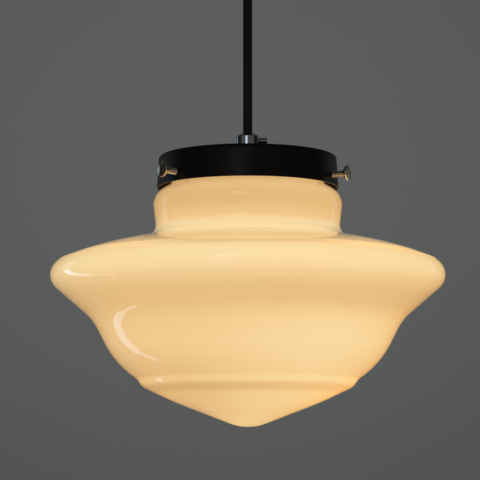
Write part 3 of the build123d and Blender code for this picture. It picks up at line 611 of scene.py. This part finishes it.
class PENDANT_OT_stage(bpy.types.Operator):
    """Set the camera, the light, the wall and the floor"""

    bl_idname = "pendant.stage"
    bl_label = "Stage"

    def execute(self, context):
        stage = context.scene.pendant_stage
        # How far the photograph's horizon lies under its middle, and its focal length, in its pixels
        horizon_drop, focal_pixels = 228, 2030
        lens = bpy.data.cameras.new("camera")
        lens.sensor_width = 36.0
        lens.lens = 153.2
        lens.clip_start = 0.05
        camera = bpy.data.objects.new("camera", lens)
        camera.location = Vector((-4.7, -1238.9, -332.0)) * MM
        camera.rotation_euler = (math.pi / 2 + math.atan(horizon_drop / focal_pixels), 0, 0)
        context.scene.collection.objects.link(camera)
        context.scene.camera = camera
        context.scene.view_settings.view_transform = "Standard"

        half = 1.5
        floor_mesh = bpy.data.meshes.new("floor")
        drop = -stage.floor_drop
        corners = [(-half, -half, drop), (half, -half, drop), (half, half, drop), (-half, half, drop)]
        floor_mesh.from_pydata(corners, [], [(0, 1, 2, 3)])
        floor = new_object("floor", floor_mesh)
        # Smooth plaster: matt and pale, in faint patches. What mirrors it sees the room's grey instead.
        plaster, tree, shader = new_material("smooth_plaster", {"Roughness": 0.8})
        place = add_node(tree, "TexCoord").outputs["Object"]
        patches = add_node(tree, "TexNoise", {"Vector": place, "Scale": 8.0, "Detail": 5.0})
        tint = add_node(tree, "Mix", {
            0: patches, 6: to_linear(stage.floor_colour), 7: to_linear("D2D0CA"),
        }, data_type="RGBA")
        tree.links.new(tint.outputs[2], shader.inputs["Base Color"])
        path = add_node(tree, "LightPath")
        mirrored = add_node(tree, "Emission", {"Color": to_linear(stage.wall_colour), "Strength": 0.5})
        either = add_node(tree, "MixShader", {0: path.outputs["Is Glossy Ray"], 1: shader, 2: mirrored})
        tree.links.new(either.outputs[0], tree.nodes["Material Output"].inputs["Surface"])
        floor_mesh.materials.append(plaster)

        # The room, as metal and glass mirror it: the wall behind, a lighter one in front, dark sides and
        # a dim ceiling
        world = bpy.data.worlds.new("room")
        context.scene.world = world
        world.use_nodes = True
        tree = world.node_tree
        tree.nodes.clear()
        place = add_node(tree, "TexCoord").outputs["Generated"]
        way = add_node(tree, "SeparateXYZ", {0: place})
        aside = add_node(tree, "Math", {0: way.outputs["X"]}, operation="ABSOLUTE")
        mirrored = 1.0
        for direction, start, end, level_before, level_after in (
            (way.outputs["Y"], -0.3, 0.3, 1.2, 1.0),
            (aside, 0.84, 0.92, 1.0, 0.15),
            (way.outputs["Z"], 0.25, 0.6, 1.0, 0.35),
        ):
            level = add_node(tree, "MapRange", {
                "Value": direction, "From Min": start, "From Max": end,
                "To Min": level_before, "To Max": level_after,
            })
            mirrored = add_node(tree, "Math", {0: mirrored, 1: level}, operation="MULTIPLY")
        path = add_node(tree, "LightPath")
        seen = path.outputs["Is Camera Ray"]
        strength = add_node(tree, "Math", {0: mirrored, 1: seen}, operation="MAXIMUM")
        for ray in ("Is Glossy Ray", "Is Transmission Ray"):
            seen = add_node(tree, "Math", {0: seen, 1: path.outputs[ray]}, operation="MAXIMUM")
        # Daylight pools on the wall a little above its middle and falls off towards the corners
        pool_middle, pool_narrowing, corner_level = (-0.0125, 0.0, 0.15), (2.29, 0.0, 2.74), 0.75
        pool = add_node(tree, "VectorMath", {0: place, 1: pool_middle}, operation="SUBTRACT")
        pool = add_node(tree, "VectorMath", {0: pool, 1: pool_narrowing}, operation="MULTIPLY")
        pool = add_node(tree, "VectorMath", {0: pool, 1: pool}, operation="DOT_PRODUCT")
        pool = add_node(tree, "MapRange", {
            "Value": pool.outputs["Value"], "From Max": 0.25, "To Min": 1.0, "To Max": corner_level,
        })
        strength = add_node(tree, "Math", {0: strength, 1: pool}, operation="MULTIPLY")
        wall = add_node(tree, "Background", {"Color": to_linear(stage.wall_colour), "Strength": strength})
        soft = add_node(tree, "Background", {"Color": (1.0, 1.0, 1.0, 1.0), "Strength": stage.level})
        mixed = add_node(tree, "MixShader", {0: seen, 1: soft, 2: wall})
        add_node(tree, "OutputWorld", {0: mixed})

        # Windows: azimuth from the front, shift across, lower and upper edge above the ceiling, width,
        # distance, radiance and colour
        cool, plain = (0.5, 0.72, 1.0), (0.8, 0.9, 1.0)
        for name, azimuth, across, low, high, wide, far, radiance, colour in (
            ("side_window_top", -126.0, 0.085, -0.25, 0.12, 0.20, 1.0, 0.6, cool),
            ("side_window_middle", -126.0, 0.075, -0.56, -0.25, 0.13, 1.0, 3.0, cool),
            ("side_window_low", -126.0, 0.085, -0.9, -0.56, 0.17, 1.0, 1.8, cool),
            ("side_window_foot", -126.0, 0.085, -1.27, -0.9, 0.09, 1.0, 1.6, cool),
            ("far_side_window", 128.0, 0.0, -0.3, 0.1, 0.12, 1.0, 0.36, cool),
            ("front_window", -12.0, 0.0, -0.24, 0.16, 0.52, 1.6, 1.15, plain),
            ("front_window_top", -12.0, 0.0, 0.16, 0.36, 0.3, 1.6, 2.4, plain),
        ):
            turn = math.radians(azimuth)
            flat = Vector((math.sin(turn), -math.cos(turn), 0))
            side = Vector((math.cos(turn), math.sin(turn), 0))
            pane = bpy.data.lights.new(name, "AREA")
            pane.shape = "RECTANGLE"
            pane.size = wide
            pane.size_y = high - low
            pane.color = colour
            pane.energy = radiance * math.pi * wide * (high - low)
            window = bpy.data.objects.new(name, pane)
            window.location = flat * far + side * across + Vector((0, 0, (low + high) / 2))
            window.rotation_euler = flat.to_track_quat("Z", "Y").to_euler()
            context.scene.collection.objects.link(window)
        return {"FINISHED"}


class PENDANT_OT_flex(bpy.types.Operator):
    """Hang the flex between its two cord grips"""

    bl_idname = "pendant.flex"
    bl_label = "Flex"

    def execute(self, context):
        flex = context.scene.pendant_flex
        in_grip = 1.0
        top, foot = SWING_HEIGHT + in_grip, TILT_HEIGHT - in_grip
        route = [(0, 0, top), (0, 0, (top + foot) / 2), (0, 0, foot)]
        cable = new_object("flex_cable", laid_curve("flex_cable", route, flex.diameter / 2, 12))
        # PVC sheath, extruded: satin black, a little mottled over the cores inside
        sheath = moulded(
            "black_pvc_sheath", flex.sheath_colour, "0A0A0A", 0.6, 400.0, relief=0.05, level=0.25
        )
        finish_piece(cable, sheath, "flex", "black_flex", "flex")
        return {"FINISHED"}


class PENDANT_OT_shade(bpy.types.Operator):
    """Blow the opal glass shade"""

    bl_idname = "pendant.shade"
    bl_label = "Glass shade"

    def execute(self, context):
        shade = context.scene.pendant_shade
        outer = rounded([
            (LIP_RADIUS - 1.6, LIP_TOP, 0.0),
            (LIP_RADIUS, LIP_TOP, 1.0),
            (LIP_RADIUS, LIP_FOOT, 1.0),
            (THROAT_RADIUS, THROAT_TOP, 1.0),
        ] + SHADE_OUTLINE)
        inner = rounded(inset([(THROAT_RADIUS, LIP_TOP, 0.0)] + SHADE_OUTLINE, shade.wall / MM), longest=5.0)
        outline = [(point.x, point.y + GALLERY_EDGE) for point in outer + inner[::-1]]
        reach = shade.waviness / MM / 2

        def stray(angle, height):
            wave = 0.6 * math.sin(2 * angle + height / 31) + 0.4 * math.sin(5 * angle - height / 17)
            return -reach * (1 + wave)

        glass = new_object("opal_shade", turned_mesh("opal_shade", outline, segments=224, stray=stray))
        finish_piece(glass, opal_glass(shade), "shade", "opal_glass", "glass_shade")
        return {"FINISHED"}


class PENDANT_OT_gallery(bpy.types.Operator):
    """Enamel the gallery and the ceiling cup"""

    bl_idname = "pendant.gallery"
    bl_label = "Gallery and ceiling cup"

    def execute(self, context):
        dress(("gallery", "ceiling_cup"), satin_enamel(context.scene.pendant_metal))
        return {"FINISHED"}


class PENDANT_OT_screws(bpy.types.Operator):
    """Cut the slotted screws with their threads"""

    bl_idname = "pendant.screws"
    bl_label = "Screws"

    def execute(self, context):
        metal = context.scene.pendant_metal
        # Nickel plate: bright, a little yellow. Chrome plate: whiter. Turned brass: warm yellow, half bright.
        nickel = plated_metal("nickel_plated_screw", metal.nickel_colour, 0.12, 0.22, 1500.0)
        brass = plated_metal("turned_brass_screw", metal.brass_colour, 0.22, 0.36, 1500.0)
        chrome = plated_metal("chrome_plated_screw", metal.chrome_colour, 0.14, 0.24, 1500.0)
        head_top = SCREW_SEAT + 3.8
        head = rounded([
            (0.0, SCREW_SEAT - 0.4, 0.0),
            (1.9, SCREW_SEAT - 0.4, 0.0),
            (1.98, SCREW_SEAT + 0.1, 0.4),
            (4.6, SCREW_SEAT + 2.1, 0.15),
            (4.6, SCREW_SEAT + 3.3, 0.35),
            (1.5, head_top, 4.6),
            (0.0, head_top, 0.0),
        ], turn_step=10, longest=1.0)

        def cut_thread(shape, low, high):
            threaded(shape, SMALL_RADIUS * MM, SMALL_DEPTH * MM, metal.small_pitch, low * MM, high * MM)

        for side, angle in SCREW_ANGLES.items():
            name = f"thumb_screw_{side}"
            shape = slotted(name, head, head_top, 1.5)
            cut_thread(shape, SCREW_TIP, SCREW_SEAT - 0.3)
            shape.transform(outward(angle, SCREW_WALL, SCREW_LEVEL, SCREW_RISE))
            screw = new_object(name, smooth_mesh(name, shape))
            finish_piece(screw, nickel, f"gallery_screw_{side}", "bright_chrome", f"gallery_screw_{side}")

        # Side screws of the cord grips: a slotted end and a dog point
        grub_end = 12.0
        grub = rounded([
            (0.0, grub_end - 1.6, 0.0), (1.9, grub_end - 1.6, 0.0), (1.95, grub_end, 0.45),
            (0.0, grub_end, 0.0),
        ], turn_step=15)
        dog_point = rounded([
            (0.0, 2.9, 0.0), (1.2, 2.9, 0.0), (1.2, 3.9, 0.0), (1.55, 4.3, 0.0), (0.0, 4.3, 0.0)
        ])
        for name, body, node, base, facing in (
            ("upper_grub_screw", "ceiling_fitting", "upper_grip_screw", CUP_FLOOR, -1),
            ("lower_grub_screw", "pendant", "lower_grip_screw", GALLERY_TOP, 1),
        ):
            shape = slotted(name, grub, grub_end, 1.1)
            merge(shape, turned_mesh(name + "_tip", [tuple(point) for point in dog_point], segments=32))
            cut_thread(shape, 4.2, grub_end - 1.2)
            place = Matrix.Translation((0, 0, base * MM))
            if facing < 0:
                place = place @ Matrix.Rotation(math.pi, 4, "X")
            shape.transform(place @ outward(8.0, 0, 10.0))
            screw = new_object(name, smooth_mesh(name, shape))
            finish_piece(screw, chrome, body, "bright_chrome", node)

        # Screws with domed heads: two in the sides of the ceiling cup, and one that points up into its floor
        cup_wall = 53.85
        sideways = (outward(0, cup_wall, -9), outward(180, cup_wall, -9))
        upwards = (Matrix.Translation((-19.5 * MM, 0, -1.5 * MM)) @ Matrix.Rotation(math.pi, 4, "X"),)
        for name, head_radius, head_height, length, places, material, slot, node in (
            ("cup_screws", 3.8, 2.2, 5.5, sideways, chrome, "bright_chrome", "ceiling_cup_screws"),
            ("earth_terminal_screw", 3.5, 2.4, 1.5, upwards, brass, "brass", "earth_screw"),
        ):
            whole = bmesh.new()
            dome = rounded([
                (0.0, 0.0, 0.0), (head_radius, 0.0, 0.2), (head_radius, head_height, head_height * 0.6),
                (0.0, head_height, 0.0),
            ], turn_step=12, longest=1.2)
            for number, place in enumerate(places):
                shape = slotted(f"{name}_{number}", dome, head_height, head_height * 0.45)
                cut_thread(shape, -length, 0.3)
                shape.transform(place)
                part = bpy.data.meshes.new("part")
                shape.to_mesh(part)
                shape.free()
                merge(whole, part)
            screws = new_object(name, smooth_mesh(name, whole))
            finish_piece(screws, material, "ceiling_fitting", slot, node)
        return {"FINISHED"}


class PENDANT_OT_grips(bpy.types.Operator):
    """Plate the cord grips, nipples, nuts and washers"""

    bl_idname = "pendant.grips"
    bl_label = "Cord grips and nipples"

    def execute(self, context):
        metal = context.scene.pendant_metal
        # Polished chrome plate: a cool mirror. Zinc plate: grey, half bright and a little mottled.
        chrome = plated_metal("chrome_plated_brass", metal.chrome_colour, 0.04, 0.09, 900.0)
        zinc = plated_metal("zinc_plated_steel", metal.zinc_colour, 0.28, 0.46, 700.0)
        dress(("upper_cord_grip", "lower_cord_grip"), chrome)
        dress(("ceiling_bracket", "upper_washer", "upper_locknut", "lower_washer", "lower_locknut",
               "terminal_block_screws"), zinc)
        for name, body, low, high in (
            ("upper_nipple", "ceiling_fitting", -32.5, -19.2),
            ("lower_nipple", "pendant", -157.1, -135.0),
        ):
            shape = bmesh.new()
            threaded(
                shape, NIPPLE_RADIUS * MM, NIPPLE_DEPTH * MM, metal.nipple_pitch, low * MM, high * MM,
                bore=NIPPLE_BORE * MM, segments=48,
            )
            bmesh.ops.recalc_face_normals(shape, faces=shape.faces)
            pipe = new_object(name + "_thread", smooth_mesh(name + "_thread", shape))
            finish_piece(pipe, zinc, body, "zinc_steel", name)
        return {"FINISHED"}


class PENDANT_OT_wiring(bpy.types.Operator):
    """Lay the cores and finish the terminals"""

    bl_idname = "pendant.wiring"
    bl_label = "Wiring"

    def execute(self, context):
        flex = context.scene.pendant_flex
        metal = context.scene.pendant_metal
        # Turned brass: warm yellow, half bright, with soft streaks
        brass = plated_metal("turned_brass", metal.brass_colour, 0.2, 0.34, 900.0)
        dress(("terminal_sleeves", "terminal_clamp_screws", "earth_tag", "lampholder_terminals",
               "centre_contact", "contact_shell"), brass)
        # Moulded nylon: milky white and half matt
        dress(("terminal_block",), moulded("moulded_nylon", "DEDDD6", "D4D2C9", 0.5, 300.0, ior=1.53))
        # Extruded PVC insulation: smooth, slightly waxy, in the three colours of mains cores
        extruded = {
            "black": bpy.data.materials["black_pvc_sheath"],
            "brown": moulded("brown_pvc", "6B3A22", "5E321D", 0.42, 900.0),
            "blue": moulded("blue_pvc", "2C62B4", "2857A2", 0.42, 900.0),
            "green": moulded("green_pvc", "4E9A2E", "458A29", 0.42, 900.0),
            "yellow": moulded("yellow_pvc", "E3C62B", "D6BA25", 0.42, 900.0),
        }
        # The three cores' places in the flex, and the heights where the wires turn
        spread = 1.45
        side = spread * math.cos(math.radians(30))
        front = -spread / 2
        upper_end, upper_lift, way = -16.7, -12.7, -8.5
        lower_end, lower_level, lead_level = -159.6, -165.3, -163.8
        ceiling, pendant = "ceiling_fitting", "pendant"
        runs = (
            ("upper_flex_tail", "black", "upper_flex_end", ceiling,
             [(0, 0, -37.35), (0, 0, -27), (0, 0, upper_end)]),
            ("lower_flex_tail", "black", "lower_flex_end", pendant,
             [(0, 0, -130.15), (0, 0, -145), (0, 0, lower_end)]),
            ("upper_live_wire", "brown", "upper_live_core", ceiling,
             [(side, front, upper_end), (side, front, upper_lift), (8, 10, way), (8, 23, way)]),
            ("upper_neutral_wire", "blue", "upper_neutral_core", ceiling,
             [(-side, front, upper_end), (-side, front, upper_lift), (-8, 10, way), (-8, 23, way)]),
            ("upper_earth_wire", "green", "upper_earth_core", ceiling,
             [(0, spread, upper_end), (0, spread, upper_lift), (0, 10, way), (0, 23, way)]),
            ("lower_live_wire", "brown", "lower_live_core", pendant,
             [(side, front, lower_end), (side, front, lower_level), (6.5, 0, lower_level)]),
            ("lower_neutral_wire", "blue", "lower_neutral_core", pendant,
             [(-side, front, lower_end), (-side, front, lower_level), (-6.5, 0, lower_level)]),
            ("lower_earth_wire", "green", "lower_earth_lead", pendant,
             [(0, 13.5, -144.1), (0, 13.5, lead_level), (0, spread, lead_level), (0, spread, lower_end)]),
        )
        roundness, yellow_share = 5, 0.35
        for name, colour, node, body, route in runs:
            diameter = flex.diameter if colour == "black" else flex.core_diameter
            curve = laid_curve(name, route, diameter / 2, roundness)
            curve.resolution_u = 16
            guide = new_object(name + "_guide", curve)
            bpy.context.view_layer.update()
            mesh = bpy.data.meshes.new_from_object(guide)
            bpy.data.objects.remove(guide)
            mesh.name = name
            mesh.shade_smooth()
            mesh.set_sharp_from_angle(angle=math.radians(50))
            wire = new_object(name, mesh)
            mesh.materials.clear()
            slot = "black_flex" if colour == "black" else f"{colour}_core"
            finish_piece(wire, extruded[colour], body, slot, node)
            if colour == "green":
                mesh.materials.append(extruded["yellow"])
                around = 4 * (roundness + 1) // 2
                for face in mesh.polygons:
                    face.material_index = int(face.index % around < around * yellow_share)
        return {"FINISHED"}


class PENDANT_OT_lampholder(bpy.types.Operator):
    """Finish the lampholder"""

    bl_idname = "pendant.lampholder"
    bl_label = "Lampholder"

    def execute(self, context):
        # Moulded phenolic: near-black with a brown cast, polished by its mould
        phenolic = moulded("moulded_phenolic", "161210", "1E1714", 0.24, 120.0, ior=1.6)
        dress(("lampholder_cap", "lampholder_body"), phenolic)
        # Pressed steatite: off-white and dry
        dress(("lampholder_core",), moulded("pressed_steatite", "E2DED2", "D8D3C6", 0.6, 500.0, ior=1.6))
        return {"FINISHED"}


class PENDANT_OT_lamp(bpy.types.Operator):
    """Make the lamp with its rolled cap"""

    bl_idname = "pendant.lamp"
    bl_label = "Lamp"

    def execute(self, context):
        metal = context.scene.pendant_metal
        top, foot = -180.4, -202.4
        skirt = 8.0
        shape = bmesh.new()
        threaded(
            shape, 13.05 * MM, 0.75 * MM, metal.lamp_pitch, (foot + skirt - 1.0) * MM, (top - 0.2) * MM,
            bore=12.0 * MM, segments=64, steps=14,
        )
        skirt_outline = [(13.1, foot + skirt), (13.1, foot), (12.6, foot), (12.6, foot + skirt)]
        shoulder_outline = [
            (0.0, top), (11.1, top), (12.4, top - 1.4), (11.8, top - 1.4), (10.6, top - 0.5),
            (0.0, top - 0.5),
        ]
        for outline in (skirt_outline, shoulder_outline):
            merge(shape, turned_mesh("cap_part", outline, segments=64))
        bmesh.ops.recalc_face_normals(shape, faces=shape.faces)
        cap = new_object("rolled_lamp_cap", smooth_mesh("rolled_lamp_cap", shape))
        # Drawn aluminium, rolled: bright, with soft marks from the rolls
        aluminium = plated_metal("rolled_aluminium", "C8C9CA", 0.2, 0.34, 600.0)
        finish_piece(cap, aluminium, "lamp", "lamp_cap_aluminium", "lamp_cap")
        # Soft solder: grey and half dull
        dress(("lamp_contact",), plated_metal("soft_solder", "A9AAAC", 0.3, 0.5, 1200.0))
        # Vitrite, pressed black glass: glossy and near-black
        dress(("lamp_insulator",), moulded("black_vitrite", "111214", "17181B", 0.12, 500.0))
        # Acid-etched soda glass, lit: an even warm white that hides the filaments. The etch is drawn 0.4 mm
        # coarse, far coarser than the real one, so that it shows.
        frosted, tree, shader = new_material("etched_lamp_glass", {
            "Base Color": to_linear("F2EEE4"), "IOR": 1.5, "Transmission Weight": 0.3,
            "Emission Strength": 1.0,
        })
        place = add_node(tree, "TexCoord").outputs["Object"]
        etch = add_node(tree, "TexNoise", {"Vector": place, "Scale": 2500.0, "Detail": 2.0})
        rough = add_node(tree, "MapRange", {"Value": etch, "To Min": 0.45, "To Max": 0.6})
        tree.links.new(rough.outputs[0], shader.inputs["Roughness"])
        parts = add_node(tree, "SeparateXYZ", {0: place})
        globe_foot, globe_neck = -232 * MM, -205 * MM
        lit = add_node(tree, "MapRange", {
            "Value": parts.outputs["Z"], "From Min": globe_foot, "From Max": globe_neck,
            "To Min": 1.0, "To Max": 0.25,
        }, interpolation_type="SMOOTHSTEP")
        warm = add_node(
            tree, "Mix", {0: lit, 6: to_linear("5A4630"), 7: to_linear("FFE9C0")}, data_type="RGBA"
        )
        tree.links.new(warm.outputs[2], shader.inputs["Emission Color"])
        dress(("lamp_glass",), frosted)
        # Flare glass: clear, thick, slightly green
        clear, tree, shader = new_material("clear_flare_glass", {"IOR": 1.5, "Transmission Weight": 1.0})
        place = add_node(tree, "TexCoord").outputs["Object"]
        seed = add_node(tree, "TexNoise", {"Vector": place, "Scale": 400.0})
        rough = add_node(tree, "MapRange", {"Value": seed, "To Min": 0.02, "To Max": 0.1})
        tint = add_node(
            tree, "Mix", {0: seed, 6: to_linear("EAF3EC"), 7: to_linear("DCEBE2")}, data_type="RGBA"
        )
        tree.links.new(rough.outputs[0], shader.inputs["Roughness"])
        tree.links.new(tint.outputs[2], shader.inputs["Base Color"])
        dress(("lamp_stem",), clear)
        # Phosphor on glass strips: a yellow powder skin, lit. Its grains are drawn 0.3 mm coarse, so that
        # they show.
        phosphor, tree, shader = new_material("lit_phosphor", {"Roughness": 0.9, "Emission Strength": 3.0})
        place = add_node(tree, "TexCoord").outputs["Object"]
        grains = add_node(tree, "TexNoise", {"Vector": place, "Scale": 3000.0})
        lit = add_node(
            tree, "Mix", {0: grains, 6: to_linear("FFC45E"), 7: to_linear("FFD98A")}, data_type="RGBA"
        )
        for socket in ("Base Color", "Emission Color"):
            tree.links.new(lit.outputs[2], shader.inputs[socket])
        dress(("lamp_filaments",), phosphor)
        return {"FINISHED"}


class PENDANT_PT_panel(bpy.types.Panel):
    """The pendant light's pieces and settings"""

    bl_label = "Pendant light"
    bl_idname = "PENDANT_PT_panel"
    bl_space_type = "VIEW_3D"
    bl_region_type = "UI"
    bl_category = "Pendant light"

    def draw(self, context):
        for operator in OPERATORS:
            self.layout.operator(operator.bl_idname)
        for name in SETTINGS:
            group = getattr(context.scene, name)
            box = self.layout.box()
            for key in group.__annotations__:
                box.prop(group, key)


SETTINGS = {
    "pendant_shade": ShadeSettings,
    "pendant_metal": MetalSettings,
    "pendant_flex": FlexSettings,
    "pendant_stage": StageSettings,
}
OPERATORS = (
    PENDANT_OT_stage,
    PENDANT_OT_flex,
    PENDANT_OT_shade,
    PENDANT_OT_gallery,
    PENDANT_OT_screws,
    PENDANT_OT_grips,
    PENDANT_OT_wiring,
    PENDANT_OT_lampholder,
    PENDANT_OT_lamp,
)


def register():
    for made in (*SETTINGS.values(), *OPERATORS, PENDANT_PT_panel):
        bpy.utils.register_class(made)
    for name, group in SETTINGS.items():
        setattr(bpy.types.Scene, name, bpy.props.PointerProperty(type=group))


def unregister():
    for name in SETTINGS:
        delattr(bpy.types.Scene, name)
    for made in (PENDANT_PT_panel, *OPERATORS[::-1], *SETTINGS.values()):
        bpy.utils.unregister_class(made)


def main():
    register()
    for operator in OPERATORS:
        group, name = operator.bl_idname.split(".")
        getattr(getattr(bpy.ops, group), name)()


if __name__ == "__main__":
    main()
